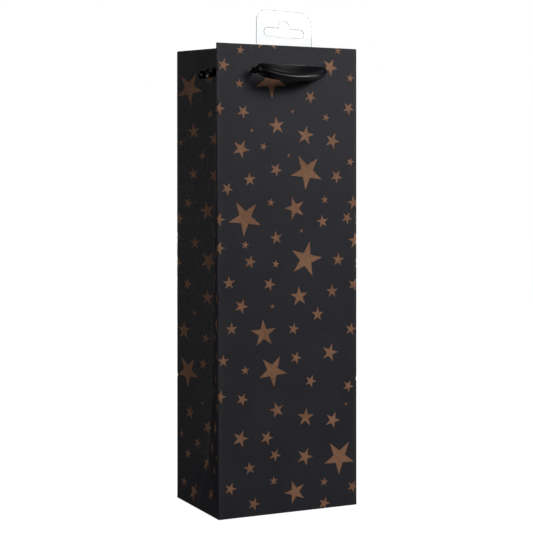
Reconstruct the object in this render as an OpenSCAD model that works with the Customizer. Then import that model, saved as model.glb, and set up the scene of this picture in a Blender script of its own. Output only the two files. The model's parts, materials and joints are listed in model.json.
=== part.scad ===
// Tall paper gift bag for one wine bottle.
// Standing bag, +Z up, front panel towards -Y, base on the plane z = 0.
// The paper is one printed sheet, divided here at its creases.

/* [Bag] */
// Width of the front and back panels
bag_w = 120; // [100:1:150]
// Depth of the base, front to back
bag_d = 85; // [75:1:110]
// Height of the paper bag without the tab
bag_h = 360; // [320:1:400]
// How far the centre crease of a side is pushed in at the mouth
fold_in = 18.5; // [12:0.5:20]
// How far it is pushed in where the creases of the bottom meet
base_fold = 10; // [2:0.5:12]
// How far the front and the back lean in at the mouth
lean_in = 3; // [1:0.1:6]

/* [Paper and card] */
// Thickness of the paper
paper_t = 0.3; // [0.2:0.05:0.4]
// Thickness of the card strips and of the base card
card_t = 0.8; // [0.5:0.1:1.2]
// Height of the turned-in hem at the mouth
hem_h = 40; // [34:1:50]
// Height of the card strips behind the handle holes
strip_h = 32; // [28:1:33]
// Width of the glued side seam
seam_w = 15; // [10:1:20]
// Length by which the two bottom flaps overlap
bottom_lap = 16; // [10:1:24]

/* [Handles] */
// Distance from a handle hole to the middle of its panel
hole_x = 29.5; // [26:0.5:36]
// Distance from the handle holes down from the mouth
hole_drop = 20; // [16:0.5:24]
// Diameter of a ribbon hole
hole_dia = 5; // [4.5:0.5:8]
// Width of the satin ribbon
ribbon_w = 12; // [8:0.5:12]
// Thickness of the ribbon loop
ribbon_t = 0.8; // [0.5:0.1:1.2]
// Diameter of the ribbon where it is bunched up
cord_dia = 2.6; // [2:0.1:3]
// How far a handle loop stands out from its panel
loop_out = 15; // [14:0.5:20]
// Distance from the centre crease to a ribbon hole in a side
side_hole = 12.5; // [11:0.5:15]
// Diameter of a ribbon knot
knot_dia = 7; // [6:0.5:8]
// Length of the ribbon's end past its knot
tail_l = 9; // [7:0.5:9.5]

/* [Hanging tab] */
// Width of the tab
tab_w = 47; // [40:1:50]
// Height of the tab above the mouth
tab_rise = 26.5; // [22:0.5:30]
// Length of the tab below the mouth
tab_grip = 30; // [20:1:38]
// Thickness of the tab
tab_t = 0.4; // [0.3:0.1:0.6]
// Distance of the tab's middle from the middle of the panel
tab_x = -2.5; // [-6:0.5:6]
// Width of the hook slot
slot_w = 34; // [30:0.5:36]
// Height of the hook slot beside its hump
slot_h = 6.5; // [5:0.5:8]
// Height of the slot's lower edge above the mouth
slot_z = 6.6; // [6:0.1:8]

/* [Hidden] */

$fn = 32;
half_w = bag_w / 2;
half_d = bag_d / 2;
glue_gap = 0.05;
crease_gap = 0.03;
lean = atan(lean_in / bag_h);
hole_z = bag_h - hole_drop;
// The creases of the bottom corners meet at this height on the centre crease of a side.
peak_z = half_d;
// The push grows upwards with this power of the height above that place.
fold_shape = 0.55;
// The bottom flaps stop this far inside the walls, which slope in above them.
flap_inset = 0.65;
// The turned-in layers stop this far short of the corners.
corner_clear = 1.6;
hem_z = bag_h - hem_h;
hem_top = bag_h - paper_t;
// Rows and columns of the folded side panels.
side_rows = 12;
side_cols = 6;
// The loop turns about an axis this far outside its panel.
axis_out = 2.5;
// The loop starts this far from the axis and is full width this far out.
loop_start = 2;
loop_full = 13;
loop_steps = 28;
loop_droop = 7.5;
// The loop leans to the left by this share of its reach.
loop_skew = 0.35;
tab_round = 9;
slot_hump_w = 9.5;
slot_hump_h = 6;
knot_lift = 0.3;
tail_t = 0.6;
tail_w = 6;
tail_rise = 10;
print_black = [0.17, 0.17, 0.18];
kraft = [0.50, 0.39, 0.31];

// Distance that a front or back panel has leaned in at a height.
function lean_at(z) = lean_in * z / bag_h;
// Distance that the centre crease of a side has been pushed in at a height.
function fold_at(z) = z < peak_z
    ? base_fold * z / peak_z
    : base_fold + (fold_in - base_fold) * pow((z - peak_z) / (bag_h - peak_z), fold_shape);
// The push beside the creases of the bottom, which is that of the place where they meet.
function wing_at(z) = max(base_fold, fold_at(z));
// Half the depth of a side at a height.
function side_half(z) = half_d - lean_at(z);
// Angle between a half side and the plane of the whole side at a height.
function fold_angle(z) = atan(wing_at(z) / side_half(z));

// Everything for the front is drawn on the panel's own plane, y being the depth inwards.
module on_front() {
    translate([0, -half_d, 0])
        rotate([-lean, 0, 0])
            children();
}

module on_back() {
    mirror([0, 1, 0])
        on_front()
            children();
}

module round_hole(x, depth) {
    translate([x, depth + 2, hole_z])
        rotate([90, 0, 0])
            cylinder(d = hole_dia, h = depth + 4);
}

// A plate of the front wall with its two ribbon holes.
module wall_plate(width, z_low, z_high, depth, thick) {
    difference() {
        translate([-width / 2, depth, z_low])
            cube([width, thick, z_high - z_low]);
        for (side = [-1, 1])
            round_hole(side * hole_x, depth + thick);
    }
}

// Half of a side panel: a thin folded sheet between its corner and its centre crease.
// Its bottom triangle slopes in from the base.
function sheet_point(z, share, edge, depth) =
    let (reach = side_half(z) - edge,
         y = crease_gap + share * (reach - crease_gap),
         push = min(fold_at(z), wing_at(z) * (1 - y / side_half(z))))
    [-half_w + push + depth / cos(fold_angle(z)), -y, z];

module half_side(z_low, z_high, edge, depth, thick) {
    low = max(z_low, peak_z);
    // Below the peak the rows cross the columns on the slanting crease.
    zs = [
        z_low,
        if (z_low < peak_z) each [for (i = [1:side_cols]) peak_z * i / side_cols],
        for (i = [1:side_rows]) low + (z_high - low) * i / side_rows
    ];
    n = len(zs);
    m = side_cols + 1;
    points = [
        for (layer = [0, 1])
            for (z = zs)
                for (j = [0:side_cols])
                    sheet_point(z, j / side_cols, edge, depth + layer * thick)
    ];
    inner = n * m;
    quads = concat(
        [for (i = [0:n - 2]) for (j = [0:side_cols - 1])
            [i * m + j, i * m + j + 1, (i + 1) * m + j + 1, (i + 1) * m + j]],
        [for (i = [0:n - 2]) for (j = [0:side_cols - 1])
            [inner + i * m + j, inner + (i + 1) * m + j, inner + (i + 1) * m + j + 1, inner + i * m + j + 1]],
        [for (i = [0:n - 2])
            [i * m, (i + 1) * m, inner + (i + 1) * m, inner + i * m]],
        [for (i = [0:n - 2])
            [i * m + side_cols, inner + i * m + side_cols, inner + (i + 1) * m + side_cols, (i + 1) * m + side_cols]],
        [for (j = [0:side_cols - 1])
            [j, inner + j, inner + j + 1, j + 1]],
        [for (j = [0:side_cols - 1])
            [(n - 1) * m + j, (n - 1) * m + j + 1, inner + (n - 1) * m + j + 1, inner + (n - 1) * m + j]]
    );
    faces = [for (q = quads) each [[q[0], q[3], q[1]], [q[1], q[3], q[2]]]];
    polyhedron(points, faces);
}

// The middle of a side's ribbon hole, on the paper's outer surface, and its direction outwards.
side_angle = fold_angle(hole_z);
side_y = side_hole * cos(side_angle);
side_x = -half_w + fold_at(hole_z) * (1 - side_y / side_half(hole_z));

// Moves to the hole in the left side's front half, with +Z pointing out of the paper.
module at_side_hole() {
    translate([side_x, -side_y, hole_z])
        rotate([0, 0, -side_angle])
            rotate([0, -90, 0])
                children();
}

module pierced_half_side(z_low, z_high, edge, depth, thick) {
    difference() {
        half_side(z_low, z_high, edge, depth, thick);
        at_side_hole()
            translate([0, 0, -3])
                cylinder(d = hole_dia, h = 6);
    }
}

// One of the four quarters of the bag: x and y say which side it is on.
module quarter(x, y) {
    mirror([x > 0 ? 1 : 0, 0, 0])
        mirror([0, y > 0 ? 1 : 0, 0])
            children();
}

module gusset(x, y) {
    color(print_black)
        quarter(x, y)
            pierced_half_side(0, bag_h, paper_t + crease_gap, 0, paper_t);
}

module gusset_hem(x, y) {
    color(print_black)
        quarter(x, y)
            pierced_half_side(hem_z, hem_top, corner_clear, paper_t + glue_gap, paper_t);
}

module panel() {
    color(print_black)
        wall_plate(bag_w, 0, bag_h, 0, paper_t);
}

module card_strip() {
    color("tan")
        wall_plate(bag_w - 2 * corner_clear, hem_top - strip_h, hem_top, paper_t + glue_gap, card_t);
}

module wall_hem() {
    color(print_black)
        wall_plate(bag_w - 2 * corner_clear, hem_z, hem_top, paper_t + card_t + 2 * glue_gap, paper_t);
}

module front_panel() { on_front() panel(); }
module back_panel() { on_back() panel(); }
module left_gusset_front() { gusset(-1, -1); }
module left_gusset_rear() { gusset(-1, 1); }
module right_gusset_front() { gusset(1, -1); }
module right_gusset_rear() { gusset(1, 1); }
module front_hem() { on_front() wall_hem(); }
module back_hem() { on_back() wall_hem(); }
module left_hem_front() { gusset_hem(-1, -1); }
module left_hem_rear() { gusset_hem(-1, 1); }
module right_hem_front() { gusset_hem(1, -1); }
module right_hem_rear() { gusset_hem(1, 1); }
module front_card_strip() { on_front() card_strip(); }
module back_card_strip() { on_back() card_strip(); }

// The strip by which the sheet is glued into a tube, inside the back panel.
module side_seam_flap() {
    base_clear = 4 * (paper_t + glue_gap) + card_t;
    hem_clear = 1;
    color(kraft)
        on_back()
            translate([half_w - corner_clear - seam_w, paper_t + glue_gap, base_clear])
                cube([seam_w, paper_t, hem_z - base_clear - hem_clear]);
}

// The bottom is folded in layers: the back flap is outermost, the side flaps are innermost.
module bottom_layer(layer) {
    color(print_black)
        translate([0, 0, layer * (paper_t + glue_gap)])
            linear_extrude(paper_t)
                children();
}

module long_flap() {
    w = half_w - flap_inset;
    edge = half_d - flap_inset;
    chamfer = 20;
    end = bottom_lap / 2;
    polygon([[-w, edge], [w, edge], [w, chamfer - end], [w - chamfer, -end], [chamfer - w, -end], [-w, chamfer - end]]);
}

module short_flap() {
    w = half_w - flap_inset;
    d = half_d - flap_inset;
    reach = half_w - 34;
    mitre = 16;
    polygon([[-w, -d], [-reach, -d + mitre], [-reach, d - mitre], [-w, d]]);
}

module bottom_back_flap() { bottom_layer(0) long_flap(); }
module bottom_front_flap() { bottom_layer(1) mirror([0, 1]) long_flap(); }
module bottom_left_flap() { bottom_layer(2) short_flap(); }
module bottom_right_flap() { bottom_layer(2) mirror([1, 0]) short_flap(); }

module base_card() {
    fit = 1;
    color("tan")
        translate([-half_w + fit, -half_d + fit, 3 * (paper_t + glue_gap)])
            cube([bag_w - 2 * fit, bag_d - 2 * fit, card_t]);
}

// Outline of the tab, with z = 0 at the mouth.
module tab_outline() {
    union() {
        for (side = [-1, 1])
            translate([side * (tab_w / 2 - tab_round), tab_rise - tab_round])
                circle(r = tab_round, $fn = 64);
        translate([-tab_w / 2 + tab_round, 0])
            square([tab_w - 2 * tab_round, tab_rise]);
        translate([-tab_w / 2, -tab_grip])
            square([tab_w, tab_grip + tab_rise - tab_round]);
    }
}

// A long slot with round ends and a hump for a round hook.
module hook_slot() {
    translate([0, slot_z])
        union() {
            for (side = [-1, 1])
                translate([side * (slot_w - slot_h) / 2, slot_h / 2])
                    circle(d = slot_h);
            translate([-(slot_w - slot_h) / 2, 0])
                square([slot_w - slot_h, slot_h]);
            translate([-slot_hump_w / 2, 0])
                square([slot_hump_w, slot_h + slot_hump_h - slot_hump_w / 2]);
            translate([0, slot_h + slot_hump_h - slot_hump_w / 2])
                circle(d = slot_hump_w);
        }
}

tab_depth = 2 * paper_t + card_t + 3 * glue_gap;

module hang_tab() {
    color([0.86, 0.9, 0.93, 0.4])
        on_front()
            translate([tab_x, tab_depth + glue_gap + tab_t + 0.1, bag_h])
                rotate([90, 0, 0])
                    linear_extrude(tab_t)
                        difference() {
                            tab_outline();
                            hook_slot();
                        }
}

module tab_adhesive() {
    side_clear = 3;
    color([0.9, 0.9, 0.85, 0.5])
        on_front()
            translate([tab_x - tab_w / 2 + side_clear, tab_depth, bag_h - tab_grip + side_clear])
                cube([tab_w - 2 * side_clear, 0.1, tab_grip - 2 * side_clear]);
}

axis_y = -half_d + lean_at(hole_z) - axis_out;

// Half the ribbon's width at a distance out from the axis: bunched up first, then spread flat.
function spread_at(r) =
    let (s = min(1, max(0, (r - loop_start) / (loop_full - loop_start))))
    cord_dia / 2 + (ribbon_w / 2 - cord_dia / 2) * s * s * (3 - 2 * s);

// The loop's line as seen from above, with the angle a running from 0 to 180.
function loop_r(a) = loop_start + (loop_out - loop_start) * sin(a);
function loop_x(a) = -hole_x * cos(a) - loop_skew * (loop_r(a) - loop_start);

module ribbon_loop() {
    angles = [for (i = [0:loop_steps]) 180 * i / loop_steps];
    path = [for (a = angles) [loop_x(a), -loop_r(a)]];
    last = loop_steps;
    function along(i) =
        let (d = path[min(i + 1, last)] - path[max(i - 1, 0)])
        d / norm(d);
    function ring(i) =
        let (t = i == 0 || i == last ? [0, i == 0 ? -1 : 1] : along(i),
             side = [t[1], -t[0]] * ribbon_t / 2,
             h = spread_at(-path[i][1]),
             p = path[i])
        [[p[0] + side[0], p[1] + side[1], -h], [p[0] - side[0], p[1] - side[1], -h],
         [p[0] - side[0], p[1] - side[1], h], [p[0] + side[0], p[1] + side[1], h]];
    points = [for (i = [0:last]) each ring(i)];
    walls = [
        for (i = [0:last - 1])
            for (k = [0:3])
                each let (a = 4 * i + k, b = 4 * i + (k + 1) % 4)
                    [[a, b, b + 4], [a, b + 4, a + 4]]
    ];
    ends = [[0, 2, 1], [0, 3, 2], [4 * last, 4 * last + 1, 4 * last + 2], [4 * last, 4 * last + 2, 4 * last + 3]];
    color("#1b1a1d")
        translate([0, axis_y, hole_z])
            rotate([loop_droop, 0, 0])
                polyhedron(points, concat(walls, ends));
}

module front_handle() { ribbon_loop(); }
module back_handle() { mirror([0, 1, 0]) ribbon_loop(); }

side_out = [-cos(side_angle), sin(side_angle), 0];

// A round cord along level points, one ring of points at each.
module level_cord(line, dia) {
    sides = 8;
    last = len(line) - 1;
    function ring(i) =
        let (d = line[min(i + 1, last)] - line[max(i - 1, 0)],
             across = [d[1], -d[0], 0] / norm(d))
        [for (k = [0:sides - 1])
            line[i] + dia / 2 * (cos(360 * k / sides) * across + [0, 0, sin(360 * k / sides)])];
    walls = [
        for (i = [0:last - 1])
            for (k = [0:sides - 1])
                each let (a = sides * i + k, b = sides * i + (k + 1) % sides)
                    [[a, b, b + sides], [a, b + sides, a + sides]]
    ];
    first_end = [for (k = [1:sides - 2]) [0, k + 1, k]];
    last_end = [for (k = [1:sides - 2]) [sides * last, sides * last + k, sides * last + k + 1]];
    polyhedron([for (i = [0:last]) each ring(i)], concat(walls, first_end, last_end));
}

// The bunched ribbon from outside the panel, through its hole, across to the side's hole.
module ribbon_run() {
    mouth = [-hole_x, axis_y, hole_z];
    hole = [side_x, -side_y, hole_z];
    inwards = [0, 1, 0];
    line = [
        mouth,
        mouth + 3 * inwards,
        mouth + 5.5 * inwards,
        mouth + 7.5 * inwards - [1, 0, 0],
        (mouth + hole) / 2 + 2 * inwards,
        hole - 4.5 * side_out - 1.5 * inwards,
        hole - 2.5 * side_out,
        hole + side_out
    ];
    color("#1b1a1d")
        level_cord(line, cord_dia);
}

module faceted_ball(dia) {
    around = 14;
    rings = 6;
    top = 1 + rings * around;
    points = concat(
        [[0, 0, -dia / 2]],
        [for (i = [1:rings]) let (a = 180 * i / (rings + 1) - 90)
            for (k = [0:around - 1])
                dia / 2 * [cos(a) * cos(360 * k / around), cos(a) * sin(360 * k / around), sin(a)]],
        [[0, 0, dia / 2]]
    );
    function at(i, k) = 1 + i * around + k % around;
    walls = [
        for (i = [0:rings - 2])
            for (k = [0:around - 1])
                each [[at(i, k), at(i + 1, k), at(i + 1, k + 1)], [at(i, k), at(i + 1, k + 1), at(i, k + 1)]]
    ];
    caps = [
        for (k = [0:around - 1])
            each [[0, at(0, k), at(0, k + 1)], [top, at(rings - 1, k + 1), at(rings - 1, k)]]
    ];
    polyhedron(points, concat(walls, caps));
}

// A knot on the outside of the side, with the ribbon's end rising towards the centre crease.
module ribbon_knot() {
    lift = cord_dia / 2 + 0.3;
    color("#1b1a1d")
        at_side_hole() {
            translate([0, 0, knot_lift + knot_dia / 2 + lift])
                faceted_ball(knot_dia);
            translate([0, 0, knot_lift + lift + tail_t])
                rotate([0, 0, -tail_rise])
                    translate([-tail_w / 2, 0, 0])
                        cube([tail_w, tail_l, tail_t]);
        }
}

module front_left_ribbon_run() { quarter(-1, -1) ribbon_run(); }
module front_right_ribbon_run() { quarter(1, -1) ribbon_run(); }
module back_left_ribbon_run() { quarter(-1, 1) ribbon_run(); }
module back_right_ribbon_run() { quarter(1, 1) ribbon_run(); }
module front_left_knot() { quarter(-1, -1) ribbon_knot(); }
module front_right_knot() { quarter(1, -1) ribbon_knot(); }
module back_left_knot() { quarter(-1, 1) ribbon_knot(); }
module back_right_knot() { quarter(1, 1) ribbon_knot(); }

front_panel();
back_panel();
left_gusset_front();
left_gusset_rear();
right_gusset_front();
right_gusset_rear();
front_hem();
back_hem();
left_hem_front();
left_hem_rear();
right_hem_front();
right_hem_rear();
front_card_strip();
back_card_strip();
side_seam_flap();
bottom_back_flap();
bottom_front_flap();
bottom_left_flap();
bottom_right_flap();
base_card();
hang_tab();
tab_adhesive();
front_handle();
back_handle();
front_left_ribbon_run();
front_right_ribbon_run();
back_left_ribbon_run();
back_right_ribbon_run();
front_left_knot();
front_right_knot();
back_left_knot();
back_right_knot();
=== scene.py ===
import json
import math

import bpy
from mathutils import Matrix, Vector, noise
from mathutils.geometry import delaunay_2d_cdt


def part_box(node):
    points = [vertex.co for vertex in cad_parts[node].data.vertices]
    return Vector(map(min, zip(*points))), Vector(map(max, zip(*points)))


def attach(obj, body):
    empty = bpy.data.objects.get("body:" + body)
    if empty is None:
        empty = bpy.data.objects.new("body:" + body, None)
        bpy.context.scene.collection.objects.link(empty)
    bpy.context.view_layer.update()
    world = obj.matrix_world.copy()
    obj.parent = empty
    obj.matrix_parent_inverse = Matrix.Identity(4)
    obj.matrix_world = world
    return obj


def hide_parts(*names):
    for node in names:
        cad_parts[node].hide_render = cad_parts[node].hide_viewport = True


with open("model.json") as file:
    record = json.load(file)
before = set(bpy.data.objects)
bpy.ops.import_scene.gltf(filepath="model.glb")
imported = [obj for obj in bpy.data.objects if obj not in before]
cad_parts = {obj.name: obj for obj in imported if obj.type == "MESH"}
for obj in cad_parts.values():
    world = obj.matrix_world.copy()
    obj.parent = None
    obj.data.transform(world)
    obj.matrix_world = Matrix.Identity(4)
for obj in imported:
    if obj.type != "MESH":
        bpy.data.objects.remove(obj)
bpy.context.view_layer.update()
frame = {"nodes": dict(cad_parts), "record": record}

# A tall paper gift bag for one wine bottle. Lengths below are in millimetres until a mesh is made,
# and the object's own sizes come from the frame.
MM = 0.001
BAG, FRONT_RIBBON, BACK_RIBBON = "bag", "front_ribbon", "back_ribbon"


def box_mm(node):
    """A node's lowest and highest corner."""
    low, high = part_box(node)
    return [x / MM for x in low], [x / MM for x in high]


PANEL_LOW, PANEL_HIGH = box_mm("front_panel")
GUSSET_HIGH = box_mm("left_gusset_front")[1]
HEM_LOW, HEM_HIGH = box_mm("front_hem")
FLAP_LOW, FLAP_HIGH = box_mm("bottom_back_flap")
RUN_LOW, RUN_HIGH = box_mm("front_left_ribbon_run")

PAPER = FLAP_HIGH[2] - FLAP_LOW[2]
HALF_W = PANEL_HIGH[0]
HALF_D = -PANEL_LOW[1]
WIDE, DEEP = 2 * HALF_W, 2 * HALF_D
HEIGHT = PANEL_HIGH[2]
LEAN = PANEL_HIGH[1] - PANEL_LOW[1] - PAPER
FOLD = GUSSET_HIGH[0] + HALF_W - 1.1 * PAPER
# A side is pushed in by this much where the creases of the bottom meet, and then by a power of
# the height above that place.
BASE_FOLD = 10.0
FOLD_SHAPE = 0.55
PEAK = HALF_D
GLUE = 0.05
# How deep the turned-in layers lie inside the printed face: behind the card, and at the sides.
WALL_LAYERS = HEM_HIGH[1] + HALF_D - LEAN * HEM_HIGH[2] / HEIGHT
SIDE_LAYERS = 2 * PAPER + GLUE
HEM_Z = HEM_LOW[2]
HOLE_Z = (RUN_LOW[2] + RUN_HIGH[2]) / 2
HOLE_R = 2.5
HOLE_X = 29.5
SIDE_HOLE = 12.5
AXIS_Y = -frame["record"]["behaviour"]["joints"][1]["pos_m"][1] / MM


def smooth(x):
    """A soft step from 0 to 1."""
    x = min(1.0, max(0.0, x))
    return x * x * (3 - 2 * x)


def bell(distance, width):
    """1 at no distance, dying away over this width."""
    return math.exp(-((distance / width) ** 2))


def ticks(low, high, step):
    """Even places from low to high, both included, about a step apart."""
    n = max(1, round((high - low) / step))
    return [low + (high - low) * i / n for i in range(n + 1)]


# ---------------------------------------------------------------- camera and light

def add_camera():
    data = bpy.data.cameras.new("camera")
    data.lens = 92.8
    data.clip_end = 50
    camera = bpy.data.objects.new("camera", data)
    camera.location = (-0.4706, -0.9860, 0.2547)
    camera.rotation_euler = (math.radians(86.56), 0, math.radians(-25.54))
    bpy.context.scene.collection.objects.link(camera)
    bpy.context.scene.camera = camera


def add_area(name, place, target, size, power):
    data = bpy.data.lights.new(name, "AREA")
    data.shape = "DISK"
    data.size = size
    data.energy = power
    lamp = bpy.data.objects.new(name, data)
    lamp.location = place
    lamp.rotation_euler = (Vector(target) - Vector(place)).to_track_quat("-Z", "Y").to_euler()
    lamp.visible_transmission = False
    bpy.context.scene.collection.objects.link(lamp)


def add_studio():
    scene = bpy.context.scene
    scene.view_settings.view_transform = "Standard"
    world = bpy.data.worlds.new("studio")
    scene.world = world
    world.use_nodes = True
    background = world.node_tree.nodes["Background"]
    background.inputs["Color"].default_value = (1, 1, 1, 1)
    background.inputs["Strength"].default_value = 1.0
    world.cycles_visibility.diffuse = False
    world.cycles_visibility.glossy = False
    middle = (0, 0, 0.2)
    add_area("key", (0.47, -0.64, 0.70), (0, 0, 0.28), 0.32, 4.5)
    add_area("front_soft", (0.3, -1.8, 0.9), (0, 0, 0.3), 1.6, 5.2)
    add_area("left_low", (-1.55, 0.42, 0.06), middle, 1.0, 7.0)
    add_area("floor_bounce", (0.06, -0.26, 0.012), (0, 0, 0.03), 0.22, 0.05)
    add_area("back_right", (1.0, 1.3, 0.8), middle, 1.0, 20)
    add_area("top_right", (0.8, 0.5, 1.5), middle, 1.0, 3)


# ---------------------------------------------------------------- materials

class Nodes:
    """A material's node tree, with short calls for the nodes that the materials here share."""

    def __init__(self, name, **values):
        self.material = bpy.data.materials.new(name)
        self.material.use_nodes = True
        self.tree = self.material.node_tree
        self.shader = self.tree.nodes["Principled BSDF"]
        for socket, value in values.items():
            self.shader.inputs[socket.replace("_", " ")].default_value = value
        self.coordinates = self.tree.nodes.new("ShaderNodeTexCoord").outputs["Object"]

    def link(self, source, node, socket):
        self.tree.links.new(source, node.inputs[socket])

    def noise(self, scale, detail=3.0, rough=0.5, stretch=(1, 1, 1), vector=None):
        mapping = self.tree.nodes.new("ShaderNodeMapping")
        mapping.inputs["Scale"].default_value = stretch
        self.link(vector or self.coordinates, mapping, "Vector")
        node = self.tree.nodes.new("ShaderNodeTexNoise")
        node.inputs["Scale"].default_value = scale
        node.inputs["Detail"].default_value = detail
        node.inputs["Roughness"].default_value = rough
        self.link(mapping.outputs["Vector"], node, "Vector")
        return node.outputs["Fac"]

    def ramp(self, value, low, high, start=0.0, end=1.0):
        node = self.tree.nodes.new("ShaderNodeMapRange")
        node.interpolation_type = "SMOOTHSTEP"
        for socket, x in zip(("From Min", "From Max", "To Min", "To Max"), (low, high, start, end)):
            node.inputs[socket].default_value = x
        self.link(value, node, "Value")
        return node.outputs["Result"]

    def math(self, kind, a, b):
        node = self.tree.nodes.new("ShaderNodeMath")
        node.operation = kind
        for i, x in enumerate((a, b)):
            if isinstance(x, (int, float)):
                node.inputs[i].default_value = x
            else:
                self.tree.links.new(x, node.inputs[i])
        return node.outputs["Value"]

    def mix(self, factor, a, b):
        node = self.tree.nodes.new("ShaderNodeMix")
        node.data_type = "RGBA"
        self.link(factor, node, "Factor")
        for socket, x in (("A", a), ("B", b)):
            put = [s for s in node.inputs if s.name == socket and s.type == "RGBA"][0]
            if isinstance(x, tuple):
                put.default_value = (*x, 1)
            else:
                self.tree.links.new(x, put)
        return [s for s in node.outputs if s.type == "RGBA"][0]

    def attribute(self, name):
        node = self.tree.nodes.new("ShaderNodeAttribute")
        node.attribute_name = name
        return node

    def bump(self, height, strength, distance, after=None):
        node = self.tree.nodes.new("ShaderNodeBump")
        node.inputs["Strength"].default_value = strength
        node.inputs["Distance"].default_value = distance
        self.link(height, node, "Height")
        if after:
            self.link(after, node, "Normal")
        return node.outputs["Normal"]

    def finish(self, color=None, roughness=None, normal=None):
        for socket, source in (("Base Color", color), ("Roughness", roughness), ("Normal", normal)):
            if source:
                self.link(source, self.shader, socket)
        return self.material


def paper_grain(n):
    """The bump of pressed fibres, coarse and fine."""
    coarse = n.bump(n.noise(420, 4, 0.6), 0.12, 0.0004)
    return n.bump(n.noise(2600, 3, 0.7, (1, 1, 0.45)), 0.16, 0.0001, coarse)


def black_ink():
    n = Nodes("black_ink")
    n.shader.inputs["Specular IOR Level"].default_value = 0.36
    cloud = n.ramp(n.noise(26, 4, 0.6), 0.3, 0.7)
    base = n.mix(cloud, (0.0183, 0.0170, 0.0250), (0.0238, 0.0243, 0.0318))
    fibre = n.ramp(n.noise(1500, 4, 0.75, (1, 1, 0.4)), 0.62, 0.82)
    flecked = n.mix(n.math("MULTIPLY", fibre, 0.22), base, (0.09, 0.075, 0.065))
    rub = n.ramp(n.noise(260, 4, 0.7), 0.35, 0.75, 0.25, 1.0)
    worn = n.math("MULTIPLY", n.attribute("wear").outputs["Fac"], rub)
    color = n.mix(n.math("MULTIPLY", worn, 0.55), flecked, (0.14, 0.125, 0.125))
    rough = n.ramp(n.noise(700, 4), 0.3, 0.7, 0.58, 0.72)
    return n.finish(color, rough, paper_grain(n))


def kraft(name, dark, light, fleck):
    n = Nodes(name)
    n.shader.inputs["Specular IOR Level"].default_value = 0.28
    cloud = n.ramp(n.noise(60, 4), 0.3, 0.7)
    fine = n.ramp(n.noise(1700, 4, 0.75, (1, 1, 0.5)), 0.35, 0.7)
    coarse = n.ramp(n.noise(650, 3, 0.6), 0.3, 0.7)
    base = n.mix(n.math("MULTIPLY", n.math("ADD", n.math("ADD", cloud, fine), coarse), 0.34), dark, light)
    spots = n.ramp(n.noise(900, 3, 0.8, (1, 1, 0.35)), 0.64, 0.74)
    color = n.mix(n.math("MULTIPLY", spots, 0.5), base, fleck)
    rough = n.ramp(n.noise(600, 3), 0.3, 0.7, 0.62, 0.78)
    return n.finish(color, rough, paper_grain(n))


def board():
    n = Nodes("grey_board")
    fibre = n.ramp(n.noise(1100, 5, 0.75), 0.3, 0.7)
    base = n.mix(fibre, (0.27, 0.215, 0.16), (0.40, 0.33, 0.26))
    spots = n.ramp(n.noise(500, 2, 0.7), 0.66, 0.74)
    color = n.mix(n.math("MULTIPLY", spots, 0.6), base, (0.12, 0.10, 0.085))
    ply = n.bump(n.noise(300, 4, 0.6, (1, 1, 8)), 0.3, 0.0004)
    rough = n.ramp(n.noise(400, 3), 0.3, 0.7, 0.75, 0.9)
    return n.finish(color, rough, n.bump(n.noise(1800, 4, 0.7), 0.25, 0.0002, ply))


def satin():
    """Black satin: tight threads across the ribbon, with a thicker edge."""
    n = Nodes("black_satin", Anisotropic=0.35, Sheen_Weight=0.05, Sheen_Roughness=0.4)
    n.shader.inputs["Specular IOR Level"].default_value = 0.50
    threads = n.attribute("ribbon").outputs["Vector"]
    rib = n.noise(1.0, 2, 0.5, (5.5, 0.6, 1), threads)
    slub = n.noise(1.0, 3, 0.6, (0.25, 3.2, 1), threads)
    color = n.mix(n.ramp(slub, 0.3, 0.75), (0.0060, 0.0060, 0.0075), (0.012, 0.012, 0.0145))
    rough = n.ramp(rib, 0.3, 0.7, 0.28, 0.38)
    return n.finish(color, rough, n.bump(slub, 0.25, 0.0001, n.bump(rib, 0.35, 0.0001)))


def clear_plastic(name, dark, light, see_through):
    n = Nodes(name, IOR=1.49)
    n.shader.inputs["Transmission Weight"].default_value = see_through
    color = n.mix(n.ramp(n.noise(20, 2), 0.3, 0.7), dark, light)
    rough = n.ramp(n.noise(90, 3), 0.35, 0.75, 0.02, 0.07)
    return n.finish(color, rough, n.bump(n.noise(30, 2), 0.10, 0.0006))


def adhesive():
    n = Nodes("adhesive", IOR=1.45)
    n.shader.inputs["Transmission Weight"].default_value = 0.6
    color = n.mix(n.ramp(n.noise(150, 4), 0.4, 0.6), (0.72, 0.72, 0.68), (0.82, 0.82, 0.79))
    rough = n.ramp(n.noise(400, 3), 0.3, 0.7, 0.35, 0.6)
    return n.finish(color, rough, n.bump(n.noise(500, 3), 0.3, 0.0002))


def pale_floor():
    n = Nodes("pale_floor", Roughness=0.9)
    n.shader.inputs["Base Color"].default_value = (0.03, 0.03, 0.03, 1)
    n.shader.inputs["Emission Color"].default_value = (1, 1, 1, 1)
    n.shader.inputs["Emission Strength"].default_value = 1.0
    return n.material


INK = black_ink()
BARE = kraft("bare_kraft_star", (0.205, 0.096, 0.050), (0.44, 0.224, 0.130), (0.12, 0.055, 0.030))
INSIDE = kraft("kraft_inside", (0.34, 0.215, 0.13), (0.43, 0.285, 0.18), (0.20, 0.12, 0.075))
BOARD = board()
SATIN = satin()
CLEAR = clear_plastic("clear_plastic", (0.955, 0.978, 0.985), (0.975, 0.988, 0.992), 1.0)
# Painted shade: the band along the tab's edges and its cut edges are painted darker and less clear, for
# the dark look of light bending at an edge.
CLEAR_RIM_SHADE = clear_plastic("clear_plastic_rim_painted_shade", (0.42, 0.43, 0.45), (0.50, 0.51, 0.52), 0.75)
ADHESIVE = adhesive()


# ---------------------------------------------------------------- meshes

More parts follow.
